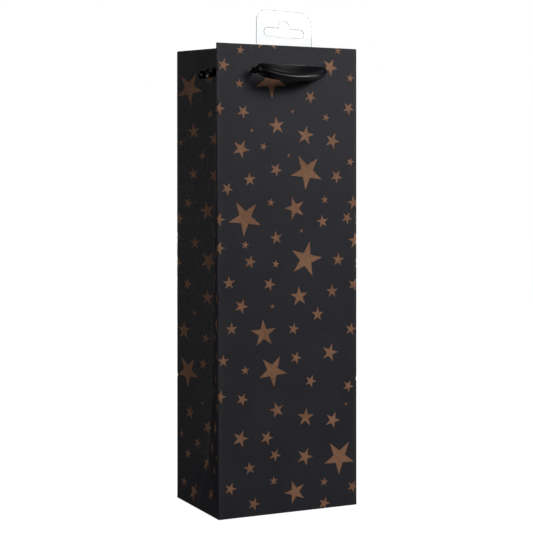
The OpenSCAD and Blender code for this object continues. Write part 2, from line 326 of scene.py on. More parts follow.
def add_piece(name, body, materials, points, faces, face_materials=None, attributes=None):
    """A shaded mesh from points in millimetres, riding on a body."""
    mesh = bpy.data.meshes.new(name)
    mesh.from_pydata([Vector(p) * MM for p in points], [], faces)
    for material in materials:
        mesh.materials.append(material)
    if face_materials:
        mesh.polygons.foreach_set("material_index", face_materials)
    for key, (kind, values) in (attributes or {}).items():
        made = mesh.attributes.new(key, kind, "POINT")
        made.data.foreach_set("vector" if kind == "FLOAT_VECTOR" else "value", values)
    mesh.validate()
    mesh.shade_smooth()
    made = bpy.data.objects.new(name, mesh)
    bpy.context.scene.collection.objects.link(made)
    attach(made, body)
    return made


def thicken(obj, depth, inner_slot=0, offset=-1.0):
    """Give a sheet its thickness, inwards from its outer face."""
    solid = obj.modifiers.new("thickness", "SOLIDIFY")
    solid.thickness = depth * MM
    solid.offset = offset
    solid.material_offset = inner_slot
    solid.material_offset_rim = inner_slot
    return solid


def soften(obj, width, segments=2, angle=35):
    """Round the sharp edges a little."""
    bevel = obj.modifiers.new("edges", "BEVEL")
    bevel.width = width * MM
    bevel.segments = segments
    bevel.limit_method = "ANGLE"
    bevel.angle_limit = math.radians(angle)
    return bevel


# ---------------------------------------------------------------- the printed stars

# Each star's place on its panel, from the panel's left and lower edges, its reach, and its turn
# clockwise in degrees. They are scattered, as on the printed sheet.
FRONT_STARS = [
    (20, 355, 3.5, 5), (42, 367.1, 12, 0), (103, 358, 3, 12), (6, 343.5, 5, 12), (96, 345, 6.7, 27),
    (114, 337, 3.3, 10), (19, 330, 3.5, 0), (45.5, 333, 12.6, 33), (2, 311, 5, 18), (22, 309, 5, 31),
    (79, 321.5, 4.8, 32), (112.5, 313.5, 4.9, 31), (63.5, 310, 1.7, 0), (92.5, 306, 3.2, 20),
    (50, 299, 6.5, -8), (29, 295, 1.6, 0), (74.5, 292, 7.1, 10), (98, 288, 6.1, 23),
    (20, 281, 7, 26), (38.5, 283, 3.1, 20), (60, 276.5, 1.6, 0), (114, 272, 3.3, 15),
    (49, 265.5, 5.1, 27), (75.5, 264, 13.2, 42), (101.5, 260.5, 5.1, 32), (27, 258, 5, -4),
    (8.5, 251, 4.8, 30), (44.5, 240.5, 3.2, 10), (65, 236, 8.5, -17), (91, 242.5, 3.2, -5),
    (117, 240, 5.3, -10), (23, 229, 13, 41), (89, 225.5, 5, -8), (111, 228, 4.9, 30),
    (1.5, 228, 5, 18), (70.5, 218.5, 1.7, 0), (49, 213.5, 5.1, -9), (118.5, 210, 6.3, -4),
    (23, 208.5, 3.1, 10), (74.5, 196.5, 13.2, 13), (1.5, 206.5, 5, 18), (27, 195.5, 5, 14),
    (48.5, 193.5, 3.1, 10), (103, 195.5, 5.1, 5), (9.5, 180, 5, -2), (43, 178, 5.1, 20),
    (117, 175.5, 5, 20), (97.5, 171, 5.1, 0), (68.5, 168, 7.4, -4), (19.5, 162, 5.6, 23),
    (45.5, 161, 2.2, 0), (84.5, 153.5, 5.3, 2), (11.5, 145, 4.9, 0), (63.5, 143, 4.6, 12),
    (114.5, 140.5, 4.9, 12), (38, 140.5, 10.2, -3), (95.5, 123, 6.8, 17), (4.5, 121, 4.7, 2),
    (65.5, 120.5, 4.8, 20), (22.5, 113, 3.6, -2), (45.5, 111.5, 11.8, 30), (78.5, 101.5, 4.8, 24),
    (112, 95.5, 4.8, 28), (1.5, 94, 5, 18), (20, 91, 4.8, 26), (49, 81, 6, -14),
    (74, 73.5, 7.1, 5), (98, 69.5, 6.4, 23), (110, 81.5, 1.5, 0), (18.5, 61, 6.5, 20),
    (40.5, 60, 5.3, 22), (47.5, 46, 5, 28), (73.5, 42.5, 6.8, 23), (104, 39.5, 13.3, 37),
    (26, 37.5, 4.8, -8), (46.5, 26, 3.5, 0), (65, 15.5, 8.8, -18), (90.5, 21, 3.5, 10),
    (116, 15, 4.7, 25), (10, 23, 4.8, 20), (29.5, 9.5, 5, 20), (90.5, 4, 5, 20),
]
SIDE_STARS = [
    (14, 330, 12.8, 30), (34.3, 337, 4.4, 20), (35.5, 309, 3.4, 15), (18.5, 296, 6.1, -5),
    (5, 287.5, 2.9, 0), (40, 289.5, 5.6, 10), (28, 276.5, 3.8, 10), (18.5, 262.5, 4.8, -5),
    (40.5, 261, 5.2, 18), (13, 239.5, 4.5, 20), (33.5, 233.5, 7.4, -12), (2.5, 227, 5.3, 15),
    (21, 208, 5, 0), (36, 194, 8.2, 30), (1.5, 191.5, 4.5, 20), (13, 175, 4.5, 15),
    (35.5, 165.5, 6.1, 0), (21.5, 152.5, 2.3, 0), (9, 137.5, 7.4, 0), (34, 133, 4.3, 12),
    (14, 105, 12.6, 36), (32, 112.5, 4.7, 5), (17, 72, 5.3, 10), (32, 81.5, 1.7, 0),
    (6.5, 53.5, 2.8, 0), (39, 63, 5.6, 20), (27.5, 49, 4.2, 20), (15.5, 38.5, 4.5, 0),
    (42.5, 35, 5.6, 10), (10, 15, 3.9, 0), (30, 10.5, 7.4, 10), (62, 15, 4.4, 15),
    (60, 345, 7, 20), (75, 330, 5, -10), (54, 318, 4.6, 15), (68, 306, 8.5, 35), (78, 291, 3.4, 0),
    (58, 285, 5, -8), (72, 272, 5, 22), (57, 262, 3.2, 10), (66, 248, 12.5, 14), (80, 230, 5, 5),
    (53, 226, 5.4, -15), (69, 217, 4.6, 30), (60, 203, 3.2, 0), (76, 201, 5, 12), (54, 178, 6.8, 25),
    (70, 184, 4.8, -6), (79, 168, 5, 18), (62, 158, 5, 2), (75, 148, 7.8, -18), (61, 137, 5.6, 10),
    (78, 124, 5, 28), (52, 116, 3, -6), (70, 106, 4.6, 32), (57, 94, 5, 12), (80, 86, 4, 2),
    (71, 68, 6.4, 20), (57, 50, 5.2, -10), (78, 46, 3.4, 5), (68, 34, 4, 22),
]
STAR_WAIST = 0.37
STAR_GROWTH = 1.07
STAR_STEP = 1.0
SIDE_U, FRONT_U, RIGHT_U, BACK_U = 0.0, DEEP, DEEP + WIDE, -WIDE


def star_outline(u, v, reach, turn):
    """The ten corners of a star, with points along its edges so that it can bend over a crease."""
    corners = []
    for k in range(10):
        angle = math.radians(turn + 36 * k)
        far = reach * (1 if k % 2 == 0 else STAR_WAIST)
        corners.append((u + far * math.sin(angle), v + far * math.cos(angle)))
    outline = []
    for (u0, v0), (u1, v1) in zip(corners, corners[1:] + corners[:1]):
        n = max(1, math.ceil(math.hypot(u1 - u0, v1 - v0) / STAR_STEP))
        outline += [(u0 + (u1 - u0) * i / n, v0 + (v1 - v0) * i / n) for i in range(n)]
    return outline


def printed_stars():
    """The stars of the whole sheet. The right side and the back repeat the same artwork."""
    placed = []
    for start, stars in (
        (FRONT_U, FRONT_STARS),
        (SIDE_U, SIDE_STARS),
        (RIGHT_U, SIDE_STARS),
        (BACK_U, FRONT_STARS),
    ):
        for u, v, reach, turn in stars:
            star = (start + u, v, reach * STAR_GROWTH, turn)
            # A star that would touch one already printed is left out where two panels meet.
            if all(math.hypot(star[0] - s[0], v - s[1]) > 0.8 * (reach + s[2]) for s in placed):
                placed.append(star)
    hem = [(u, v + HEIGHT, reach, turn) for u, v, reach, turn in placed if 8 < v < 36]
    below = [(u, v - HEIGHT, reach, turn) for u, v, reach, turn in placed if 300 < v < 350]
    return placed + hem + below


STARS = printed_stars()


def in_star(u, v, star):
    """Whether a place on the sheet is inside a star."""
    su, sv, reach, turn = star
    du, dv = u - su, v - sv
    far = math.hypot(du, dv)
    if far > reach:
        return False
    # Fold the angle into one tenth of the star and test against that edge.
    angle = (math.degrees(math.atan2(du, dv)) - turn) % 72
    angle = math.radians(min(angle, 72 - angle))
    px, py = far * math.cos(angle), far * math.sin(angle)
    waist = math.radians(36)
    wx, wy = reach * STAR_WAIST * math.cos(waist), reach * STAR_WAIST * math.sin(waist)
    return (wx - reach) * py - wy * (px - reach) > 0 or far < 1e-6


def cut_sheet(name, outlines, grid, stars, keep, place, wear, rows=()):
    """A flat sheet, cut into faces along its outlines and stars, then folded by place(u, v).
    rows are level lines (u0, u1, v) that no face crosses, so that a tight fold stays round."""
    points, edges = [], []
    for line in outlines + [star_outline(*s) for s in stars]:
        first = len(points)
        points += [Vector(p) for p in line]
        edges += [(first + i, first + (i + 1) % len(line)) for i in range(len(line))]
    for u0, u1, v in rows:
        edges.append((len(points), len(points) + 1))
        points += [Vector((u0, v)), Vector((u1, v))]
    points += [Vector(p) for p in grid]
    flat, _, triangles, *_ = delaunay_2d_cdt(points, edges, [], 0, 1e-4)
    cells = {}
    for star in stars:
        reach = star[2] + 1
        for i in range(int((star[0] - reach) // 20), int((star[0] + reach) // 20) + 1):
            for j in range(int((star[1] - reach) // 20), int((star[1] + reach) // 20) + 1):
                cells.setdefault((i, j), []).append(star)
    faces, kinds = [], []
    for t in triangles:
        u = sum(flat[i].x for i in t) / 3
        v = sum(flat[i].y for i in t) / 3
        if keep(u, v):
            faces.append(list(t))
            near = cells.get((int(u // 20), int(v // 20)), [])
            kinds.append(int(any(in_star(u, v, s) for s in near)))
    used = sorted({i for f in faces for i in f})
    index = {old: new for new, old in enumerate(used)}
    faces = [[index[i] for i in f] for f in faces]
    spots = [(flat[i].x, flat[i].y) for i in used]
    marks = {"wear": ("FLOAT", [wear(u, v) for u, v in spots])}
    made = add_piece(
        name, BAG, [INK, BARE, INSIDE, INSIDE],
        [place(u, v) for u, v in spots], faces, kinds, marks,
    )
    thicken(made, PAPER, inner_slot=2)
    return made


# ---------------------------------------------------------------- the folded sheet

# The turn at the mouth: its rise, and the paper's length round it.
TOP_FOLD = 0.7
TOP_ARC = 1.9
TOP_START = HEIGHT - TOP_FOLD
HEM_END = TOP_START + TOP_ARC + TOP_START - HEM_Z
BOTTOM_FOLD = 0.5
BOTTOM_END = BOTTOM_FOLD * (1 - math.pi / 2)
SEAM = 15.0
SEAM_LOW, SEAM_HIGH = 2.0, HEM_Z - 2
RIM_ROWS = ticks(TOP_START, TOP_START + TOP_ARC, 0.19)
SHEET_END = RIGHT_U + DEEP
STOPS = [BACK_U, SIDE_U, SIDE_U + DEEP / 2, FRONT_U, RIGHT_U, RIGHT_U + DEEP / 2, SHEET_END]
# Half the width over which the sheet turns: at a corner, at a side's crease, and at the seam.
CORNER_SOFT, CREASE_SOFT, SEAM_SOFT = 1.0, 0.8, 0.35


def lean_at(z):
    """How far the front and back panels have leaned in at a height."""
    return LEAN * z / HEIGHT


def fold_at(z):
    """How far a side's crease is pushed in at a height."""
    if z < PEAK:
        return BASE_FOLD * z / PEAK
    return BASE_FOLD + (FOLD - BASE_FOLD) * ((z - PEAK) / (HEIGHT - PEAK)) ** FOLD_SHAPE


def corners_at(z, wall, side):
    """Where the sheet turns at a height, for a layer that lies wall and side inside the outer face."""
    half = HALF_D - lean_at(z)
    fold = max(BASE_FOLD, fold_at(z))
    skew = side / math.cos(math.atan2(fold, half))
    y = half - wall
    x = HALF_W - fold * wall / half - skew
    crease = HALF_W - fold - skew
    lap = PAPER + GLUE
    return [
        Vector((x, y)), Vector((-x, y)), Vector((-crease, 0)), Vector((-x, -y)),
        Vector((x, -y)), Vector((crease, 0)), Vector((x, y - lap)), Vector((x - SEAM, y - lap)),
    ]


def bulge(k, share, z):
    """How far a panel stands out from flat between its creases."""
    calm = smooth((z - 6) / 90) * smooth((HEM_Z - 4 - z) / 70)
    wide = k in (0, 3)
    return (0.9 if wide else 0.5) * math.sin(math.pi * share) * calm


def ripple(u, v, share, z):
    """The faint unevenness of handled paper, gone at the creases, the hem and the base."""
    calm = smooth(z / 40) * smooth((HEM_Z - z) / 30) * smooth(4 * min(share, 1 - share))
    slow = noise.noise(Vector((u / 55, v / 70, 3.1)))
    fine = noise.noise(Vector((u / 16, v / 24, 7.7)))
    return calm * (0.45 * slow + 0.10 * fine)


def around(u, z, wall, side):
    """The sheet's place at a height, with soft turns at the creases."""
    turns = corners_at(z, wall, side)
    stops = STOPS + [SHEET_END + SEAM]
    k = max(i for i in range(7) if u >= stops[i] or i == 0)
    span = stops[k + 1] - stops[k]
    share = (u - stops[k]) / span
    slope = (turns[k + 1] - turns[k]) / span
    spot = turns[k] + slope * (u - stops[k])
    for node in (k, k + 1):
        if 1 <= node <= 6:
            soft = CREASE_SOFT if node in (2, 5) else CORNER_SOFT
            if node == 6:
                soft = SEAM_SOFT
            x = u - stops[node]
            if abs(x) < soft:
                before = (turns[node] - turns[node - 1]) / (stops[node] - stops[node - 1])
                after = (turns[node + 1] - turns[node]) / (stops[node + 1] - stops[node])
                bend = (after - before) / 2
                spot = turns[node] + (before + after) / 2 * x + bend * (x * x + soft * soft) / (2 * soft)
    outward = Vector((slope.y, -slope.x)).normalized()
    return spot, outward, k, share


def in_triangle(spot, z, side):
    """Below the slanting creases a side is one flat triangle that slopes in from the base."""
    limit = HALF_W - fold_at(z) - side
    if z > PEAK + 3 or abs(spot.x) > limit + 3:
        return spot
    gap = (limit - abs(spot.x)) / CREASE_SOFT
    # A smooth maximum, so that the crease is a little round.
    if gap > 1:
        x = limit
    elif gap < -1:
        x = abs(spot.x)
    else:
        x = abs(spot.x) + CREASE_SOFT * (gap + 1) ** 2 / 4
    return Vector((math.copysign(x, spot.x), spot.y))


def sheet_place(u, v):
    """From the flat sheet to the folded bag."""
    wall = side = 0.0
    z = v
    if v > TOP_START + TOP_ARC:
        z = TOP_START - (v - TOP_START - TOP_ARC)
        wall, side = WALL_LAYERS, SIDE_LAYERS
    elif v > TOP_START:
        turn = math.pi * (v - TOP_START) / TOP_ARC
        z = TOP_START + TOP_FOLD * math.sin(turn)
        wall = WALL_LAYERS * (1 - math.cos(turn)) / 2
        side = SIDE_LAYERS * (1 - math.cos(turn)) / 2
    elif v < BOTTOM_FOLD:
        turn = (BOTTOM_FOLD - v) / BOTTOM_FOLD
        z = BOTTOM_FOLD * (1 - math.sin(turn))
        wall = side = BOTTOM_FOLD * (1 - math.cos(turn))
    spot, outward, k, share = around(u, z, wall, side)
    if k in (1, 2, 4, 5):
        spot = in_triangle(spot, z, side)
    out = bulge(k, share, z) - crease_dip(u, v)
    if k < 6:
        out += ripple(u, v, share, z)
    spot = spot + outward * out
    return spot.x, spot.y, z


def to_line(u, v, a, b):
    """Distance from a point to the straight line from a to b."""
    d = Vector((b[0] - a[0], b[1] - a[1]))
    p = Vector((u - a[0], v - a[1]))
    t = min(1.0, max(0.0, p.dot(d) / d.dot(d)))
    return (p - d * t).length


DIAGONALS = [
    ((start, 0), (middle, PEAK))
    for middle in (SIDE_U + DEEP / 2, RIGHT_U + DEEP / 2)
    for start in (middle - DEEP / 2, middle + DEEP / 2)
]
FLAT_FOLDS = [((BACK_U, PEAK), (SIDE_U, PEAK)), ((SIDE_U, PEAK), (DEEP / 2, PEAK))]


def near_lines(u, v, lines):
    """Distance from a point to the nearest of some straight lines."""
    return min(to_line(u, v, a, b) for a, b in lines)


def crease_dip(u, v):
    """The shallow dent along a crease that is pressed in but lies flat in use."""
    return 0.07 * bell(near_lines(u, v, DIAGONALS + FLAT_FOLDS), 0.9)


def sheet_wear(u, v):
    """Where the ink is rubbed: along the creases, the mouth and the base."""
    worn = max(max(bell(u - stop, 0.6), 0.4 * bell(u - stop, 2.4)) for stop in STOPS)
    worn = max(worn, 0.3 * bell(near_lines(u, v, DIAGONALS + FLAT_FOLDS), 0.5))
    worn = max(worn, 0.5 * bell(v - TOP_START - TOP_ARC / 2, 0.5))
    return max(worn, 0.8 * bell(v - 0.2, 0.5))


def hem_v(z):
    """Where a height on the turned-in layer lies on the flat sheet."""
    return TOP_START + TOP_ARC + TOP_START - z


def ring_outline(u, v, radius, sides=28):
    """A circle on the flat sheet."""
    return [
        (u + radius * math.cos(2 * math.pi * i / sides), v + radius * math.sin(2 * math.pi * i / sides))
        for i in range(sides)
    ]


HOLES = [
    (u, v)
    for v in (HOLE_Z, hem_v(HOLE_Z))
    for u in (
        FRONT_U + HALF_W - HOLE_X, FRONT_U + HALF_W + HOLE_X,
        BACK_U + HALF_W - HOLE_X, BACK_U + HALF_W + HOLE_X,
        SIDE_U + DEEP / 2 - SIDE_HOLE, SIDE_U + DEEP / 2 + SIDE_HOLE,
        RIGHT_U + DEEP / 2 - SIDE_HOLE, RIGHT_U + DEEP / 2 + SIDE_HOLE,
    )
]


def sheet_outline():
    """The whole sheet's edge, with its slanted seam flap."""
    return (
        [(u, BOTTOM_END) for u in ticks(BACK_U, SHEET_END, 4)]
        + [(SHEET_END, SEAM_LOW), (SHEET_END + SEAM, SEAM_LOW + 4)]
        + [(SHEET_END + SEAM, SEAM_HIGH - 6), (SHEET_END, SEAM_HIGH)]
        + [(u, HEM_END) for u in reversed(ticks(BACK_U, SHEET_END, 4))]
    )


def on_sheet(u, v):
    """Whether a place is paper: inside the outline and outside the ribbon holes."""
    if not BOTTOM_END < v < HEM_END or u < BACK_U:
        return False
    if u > SHEET_END:
        slope = (u - SHEET_END) / SEAM
        return u < SHEET_END + SEAM and SEAM_LOW + 4 * slope < v < SEAM_HIGH - 4 * slope
    return all(math.hypot(u - a, v - b) > HOLE_R for a, b in HOLES)


def sheet_grid():
    """Places for the sheet's inner corners: an even grid, closer together wherever it bends."""
    turns = (-1.6, -1.15, -0.8, -0.5, -0.25, 0, 0.25, 0.5, 0.8, 1.15, 1.6)
    columns = []
    for low, high in zip(STOPS, STOPS[1:]):
        columns += ticks(low + 2.6, high - 2.6, 4.5)
    for stop in STOPS:
        columns += [stop + x for x in turns if BACK_U <= stop + x]
    columns += [SHEET_END + x for x in (3, 6, 9, 12)]
    rows = [BOTTOM_END, -0.1, 0.1, 0.3, 0.5, 0.8, 1.4] + ticks(4, HEIGHT - 4, 4.5)
    rows += [HEIGHT - 2, HEIGHT - 1.2] + RIM_ROWS
    rows += [TOP_START + TOP_ARC + 1] + ticks(TOP_START + TOP_ARC + 3, HEM_END - 1, 4.5)
    grid = [(u, v) for u in columns for v in rows]
    for (u0, v0), (u1, v1) in DIAGONALS + FLAT_FOLDS:
        along = Vector((u1 - u0, v1 - v0))
        across = Vector((-along.y, along.x)).normalized()
        for t in ticks(0, 1, 1.6 / along.length):
            for x in (-1.4, -0.7, 0, 0.7, 1.4):
                spot = Vector((u0, v0)) + along * t + across * x
                grid.append((spot.x, spot.y))
    for u, v in HOLES:
        grid += ring_outline(u, v, HOLE_R + 0.6) + ring_outline(u, v, HOLE_R + 1.6, 16)
    return [p for p in grid if all(math.hypot(p[0] - a, p[1] - b) > HOLE_R for a, b in HOLES)]


def make_bag_sheet():
    """Panels, sides, hem and seam flap, as one folded sheet with its ribbon holes."""
    stars = [s for s in STARS if s[1] > -s[2] and s[0] < SHEET_END - s[2]]
    holes = [ring_outline(u, v, HOLE_R) for u, v in HOLES]
    level = [(BACK_U, SHEET_END, v) for v in [-0.1, 0.1, 0.3, 0.5] + RIM_ROWS]
    outlines = [sheet_outline()] + holes
    made = cut_sheet(
        "bag_sheet", outlines, sheet_grid(), stars, on_sheet, sheet_place, sheet_wear, level,
    )
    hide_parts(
        "front_panel", "back_panel", "left_gusset_front", "left_gusset_rear",
        "right_gusset_front", "right_gusset_rear", "front_hem", "back_hem", "left_hem_front",
        "left_hem_rear", "right_hem_front", "right_hem_rear", "side_seam_flap",
    )


# ---------------------------------------------------------------- the folded bottom

def make_bottom_flap(name, node, corners, u_of, v_of):
    """One bottom flap: corners is its outline on the floor plan, u_of and v_of find its print."""
    low = box_mm(node)[0]
    sides = list(zip(corners, corners[1:] + corners[:1]))
    outline = []
    for (x0, y0), (x1, y1) in sides:
        n = max(1, round(math.hypot(x1 - x0, y1 - y0) / 4))
        outline += [(x0 + (x1 - x0) * i / n, y0 + (y1 - y0) * i / n) for i in range(n)]
    twice_area = sum(a[0] * b[1] - b[0] * a[1] for a, b in sides)
    turn = 1 if twice_area > 0 else -1

    def keep(x, y):
        return all(turn * ((b[0] - a[0]) * (y - a[1]) - (b[1] - a[1]) * (x - a[0])) > 0 for a, b in sides)

    def place(x, y):
        lift = 0.06 * noise.noise(Vector((x / 14, y / 14, low[2])))
        return x, y, low[2] + max(0.0, lift) * smooth(near_lines(x, y, sides) / 6)

    def wear(x, y):
        return 0.35 * bell(near_lines(x, y, sides), 0.5)

    stars = []
    for u, v, reach, tilt in STARS:
        if v < 0:
            x, y = u_of(u, v), v_of(u, v)
            if abs(x) < HALF_W - reach and abs(y) < HALF_D - reach:
                stars.append((x, y, reach, tilt))
    xs, ys = [c[0] for c in corners], [c[1] for c in corners]
    grid = [(x, y) for x in ticks(min(xs), max(xs), 5) for y in ticks(min(ys), max(ys), 5) if keep(x, y)]
    made = cut_sheet(name, [outline], grid, stars, keep, place, wear)
    # The printed face looks down.
    made.data.flip_normals()
    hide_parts(node)


def make_bottom():
    """The four bottom flaps, each with the part of the print that turns under with it."""
    inset = BOTTOM_FOLD
    w, d = HALF_W - inset, HALF_D - inset
    back_end = box_mm("bottom_back_flap")[0][1]
    chamfer = 20
    slant = back_end + chamfer
    long_flap = [
        (-w, d), (-w, slant), (chamfer - w, back_end), (w - chamfer, back_end), (w, slant), (w, d),
    ]
    make_bottom_flap(
        "bottom_back_flap_paper", "bottom_back_flap", long_flap,
        lambda u, v: u - BACK_U - HALF_W, lambda u, v: HALF_D + v,
    )
    make_bottom_flap(
        "bottom_front_flap_paper", "bottom_front_flap", [(x, -y) for x, y in reversed(long_flap)],
        lambda u, v: u - FRONT_U - HALF_W, lambda u, v: -HALF_D - v,
    )
    reach = -box_mm("bottom_left_flap")[1][0]
    mitre = 16
    left = [(-w, -d), (-reach, mitre - d), (-reach, d - mitre), (-w, d)]
    make_bottom_flap(
        "bottom_left_flap_paper", "bottom_left_flap", left,
        lambda u, v: -HALF_W - v, lambda u, v: u - HALF_D,
    )
    make_bottom_flap(
        "bottom_right_flap_paper", "bottom_right_flap", [(-x, y) for x, y in reversed(left)],
        lambda u, v: HALF_W + v, lambda u, v: u - RIGHT_U - HALF_D,
    )


# ---------------------------------------------------------------- card parts

def make_base_card():
    """A cut board with slightly soft corners and a faint bow."""
    low, high = box_mm("base_card")
    radius = 1.2
    points, faces = [], []
    for (cx, cy, start) in ((1, 1, 0), (-1, 1, 90), (-1, -1, 180), (1, -1, 270)):
        for i in range(5):
            a = math.radians(start + 22.5 * i)
            x = cx * (high[0] - radius) + radius * math.cos(a)
            y = cy * (high[1] - radius) + radius * math.sin(a)
            points.append((x, y))
    inner = [(x, y) for x in ticks(low[0] + 4, high[0] - 4, 6) for y in ticks(low[1] + 4, high[1] - 4, 6)]
    loop = [(i, (i + 1) % len(points)) for i in range(len(points))]
    flat, _, triangles, *_ = delaunay_2d_cdt([Vector(p) for p in points + inner], loop, [], 1, 1e-4)
    top = [
        (p.x, p.y, high[2] - 0.08 + 0.08 * noise.noise(Vector((p.x / 30, p.y / 30, 0)))) for p in flat
    ]
    made = add_piece("base_board", BAG, [BOARD], top, [list(t) for t in triangles])
    thicken(made, high[2] - low[2] - 0.1)
    soften(made, 0.12)
    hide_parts("base_card")


# ---------------------------------------------------------------- ribbons

RIBBON_W = 12.0
RIBBON_T = 0.35
# Half the ribbon's height where it is bunched, and where it fills a hole.
BUNCH = 1.3
HOLE_FILL = 2.2
# A loop starts to open this far in front of its hole, and its upper and lower edges are open
# after these distances more.
LOOP_START = 2.0
OPEN_UPPER, OPEN_LOWER = 5.5, 13.5
LOOP_OUT = 15.0
LOOP_DROOP = math.radians(7.5)
LOOP_SKEW = 0.35
PLEATS = 2.5
ACROSS = 36


def add_ribbon(name, body, points, faces, marks):
    """A satin piece. marks hold each point's place along and across the ribbon, for its threads."""
    attributes = {"ribbon": ("FLOAT_VECTOR", marks)}
    return add_piece(name, body, [SATIN], points, faces, None, attributes)


def ribbon_strip(name, body, line, heights, gathered, sides=1.0, relief=None, droop=None):
    """A satin strip along level points. heights gives its upper and lower edge at each point,
    gathered how far its spare width is folded into pleats there, and relief its other folds."""
    points, faces, marks = [], [], []
    run = twist = 0.0
    for i, p in enumerate(line):
        before, after = line[max(i - 1, 0)], line[min(i + 1, len(line) - 1)]
        along = (Vector(after) - Vector(before)).normalized()
        out = Vector((along.y, -along.x, 0)) * sides
        step = (Vector(p) - Vector(line[i - 1])).length if i else 0.0
        run += step
        upper, lower = heights[i]
        tall = upper - lower
        fold = math.sqrt(max(0.0, RIBBON_W ** 2 - tall ** 2)) / (2 * PLEATS) / 2
        # In a hole the pleats fill it all round, and twist so that no gap runs straight through.
        full = smooth((tall / 2 - BUNCH) / (HOLE_FILL - BUNCH)) * (gathered[i] > 0.99)
        twist += 1.1 * full * step
        for j in range(ACROSS + 1):
            t = j / ACROSS
            wave = math.sin(2 * math.pi * PLEATS * t + 0.9 + twist)
            cup = 0.35 * (1 - (2 * t - 1) ** 2)
            round_off = 1 + full * (3.7 * math.sqrt(max(0.0, t * (1 - t))) - 1)
            push = fold * gathered[i] * wave * round_off + cup * (1 - gathered[i])
            if relief:
                push += relief(i / (len(line) - 1), t)
            points.append(Vector(p) + out * push + Vector((0, 0, lower + tall * t)))
            marks += [run, RIBBON_W * (t - 0.5), 0.0]
    width = ACROSS + 1
    for i in range(len(line) - 1):
        for j in range(ACROSS):
            a = i * width + j
            faces.append([a, a + width, a + width + 1, a + 1])
    if droop:
        points = [droop @ p for p in points]
    made = add_ribbon(name, body, points, faces, marks)
    thicken(made, RIBBON_T, offset=0.0)
    smoother = made.modifiers.new("smooth", "SUBSURF")
    smoother.levels = smoother.render_levels = 1
    return made


def loop_line(steps=64):
    """The loop's line seen from above, from the left hole to the right one, in front of its panel."""
    line = []
    for i in range(steps + 1):
        a = math.pi * i / steps
        r = LOOP_START + (LOOP_OUT - LOOP_START) * math.sin(a)
        line.append(Vector((-HOLE_X * math.cos(a) - LOOP_SKEW * (r - LOOP_START), -r, 0)))
    stub = [Vector((-HOLE_X, -y, 0)) for y in (0.0, 0.7, 1.4)]
    return stub + line + [Vector((-p.x, p.y, 0)) for p in reversed(stub)]


def loop_relief(s, t):
    """The loop's folds at a share s of its length and t of its width from the lower edge: the
    upper left part is tucked back, with a shallow hollow beyond it and three sharp creases."""
    tuck = -1.7 * smooth((1.02 - s / 0.52 - t) / 0.6) * smooth(s / 0.12)
    hollow = -1.2 * bell(s - 0.70, 0.13) * bell(t - 0.50, 0.30)
    main_t = 0.24 + 0.50 * (1 - smooth(s / 0.55)) + 0.12 * smooth((s - 0.75) / 0.2)
    main = 0.26 * bell(t - main_t, 0.055)
    short = 0.18 * bell(t - main_t - 0.20, 0.05) * smooth((0.62 - s) / 0.3)
    corner = 0.40 * bell(t - 0.80 + 1.4 * (s - 0.80), 0.06) * smooth((s - 0.60) / 0.2)
    away_from_holes = smooth(s / 0.15) * smooth((1 - s) / 0.15)
    return tuck + hollow + away_from_holes * (main + short + corner)


def make_handle(name, node, body, back):
    """A loop of ribbon outside a panel, which hangs down a little from its two holes."""
    line = loop_line()
    heights, gathered = [], []
    for p in line:
        r = -p.y
        spread = RIBBON_W / 2 - BUNCH
        upper = BUNCH + spread * smooth((r - LOOP_START) / OPEN_UPPER)
        lower = -BUNCH - spread * smooth((r - LOOP_START) / OPEN_LOWER)
        heights.append((upper, lower))
        gathered.append(1 - 0.95 * smooth((r - LOOP_START) / 11))
    hinge = Matrix.Translation((0, AXIS_Y, HOLE_Z)) @ Matrix.Rotation(LOOP_DROOP, 4, "X")
    if back:
        hinge = Matrix.Rotation(math.pi, 4, "Z") @ hinge
    made = ribbon_strip(name, body, line, heights, gathered, relief=loop_relief, droop=hinge)
    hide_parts(node)
    path = [hinge @ p * MM for p in line]
    length = sum((b - a).length for a, b in zip(path, path[1:]))
    tuple(path[0])
    [tuple(p) for p in path]


def side_hole_place():
    """The middle of the hole in the left side's front half, and the way out of the paper there."""
    angle = math.atan2(fold_at(HOLE_Z), HALF_D - lean_at(HOLE_Z))
    y = SIDE_HOLE * math.cos(angle)
    x = -HALF_W + fold_at(HOLE_Z) * (1 - y / (HALF_D - lean_at(HOLE_Z)))
    return Vector((x, -y, HOLE_Z)), Vector((-math.cos(angle), math.sin(angle), 0))


def curve_through(points, steps):
    """A smooth line through points, by Catmull-Rom spans."""
    line = []
    padded = [points[0] * 2 - points[1]] + points + [points[-1] * 2 - points[-2]]
    for i in range(1, len(padded) - 2):
        a, b, c, d = padded[i - 1:i + 3]
        square = 2 * a - 5 * b + 4 * c - d
        cube = 3 * b - a - 3 * c + d
        for k in range(steps):
            t = k / steps
            line.append(0.5 * (2 * b + (c - a) * t + square * t * t + cube * t ** 3))
    return line + [points[-1]]


def mirrored(points, mx, my):
    """Points of the front left corner moved to the corner that mx and my, each 1 or -1, name."""
    return [Vector((p.x * mx, p.y * my, p.z)) for p in points]


